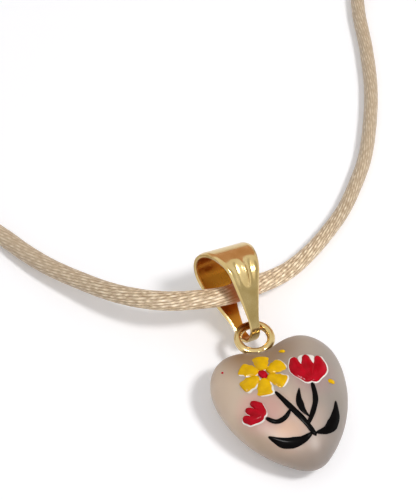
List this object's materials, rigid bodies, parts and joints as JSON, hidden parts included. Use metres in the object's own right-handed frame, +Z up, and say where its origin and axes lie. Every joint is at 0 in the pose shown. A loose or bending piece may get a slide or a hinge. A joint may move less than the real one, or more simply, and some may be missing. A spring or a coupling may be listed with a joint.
{
  "type": "heart pendant on a cord",
  "caption": "Puffed frosted heart pendant with an eye ring, a folded gilt bail and a satin neck cord that ends in caps and a lobster clasp.",
  "frame": {"origin": "bottom centre of the box of the heart, its eye ring and the bail, on the surface that the pendant lies on", "axes": "+Z up from that surface, +Y from the heart's tip towards the bail, +X to the right when the painted face is seen"},
  "size_m": [0.1223, 0.0852, 0.0122],
  "materials": {
    "heart": "frosted satin glass, taupe",
    "gilt": "polished gold plate",
    "cord": "satin braid, cream"
  },
  "bodies": {
    "neck_cord": {"cord_run": "cord", "cord_coil": "cord", "cord_tail": "cord", "cap_left": "gilt", "cap_right": "gilt"},
    "bail": {"bail": "gilt"},
    "heart": {"heart_body": "heart", "eye_ring": "gilt"},
    "left_link": {"jump_ring_left": "gilt"},
    "right_link": {"jump_ring_right": "gilt"},
    "clasp": {"clasp_body": "gilt", "clasp_pin": "gilt"},
    "clasp_lever": {"clasp_lever": "gilt"}
  },
  "joints": [
    {"name": "bail_swing", "type": "hinge", "parent": "neck_cord", "child": "bail", "pos_m": [0.0001, 0.01158, 0.0055], "axis": [0.8971, 0.276, -0.345], "range_deg": [-120, 100]},
    {"name": "heart_swing", "type": "hinge", "parent": "bail", "child": "heart", "pos_m": [0, 0.00678, 0.004], "axis": [1, 0, 0], "range_deg": [-65, 65]},
    {"name": "left_link_swing", "type": "hinge", "parent": "neck_cord", "child": "left_link", "pos_m": [-0.03378, 0.05474, 0.0016], "axis": [0, 0, 1], "range_deg": [-35, 35]},
    {"name": "right_link_swing", "type": "hinge", "parent": "neck_cord", "child": "right_link", "pos_m": [0.08006, 0.02668, 0.0016], "axis": [0, 0, 1], "range_deg": [-35, 35]},
    {"name": "clasp_swing", "type": "hinge", "parent": "left_link", "child": "clasp", "pos_m": [-0.03502, 0.05771, 0.001], "axis": [0, 0, 1], "range_deg": [-30, 30]},
    {"name": "clasp_lever_press", "type": "hinge", "parent": "clasp", "child": "clasp_lever", "pos_m": [-0.03821, 0.06005, 0.001], "axis": [0, 0, 1], "range_deg": [-25, 0], "stiffness_Nm_per_rad": 0.0008, "springref_deg": 5.73}
  ]
}
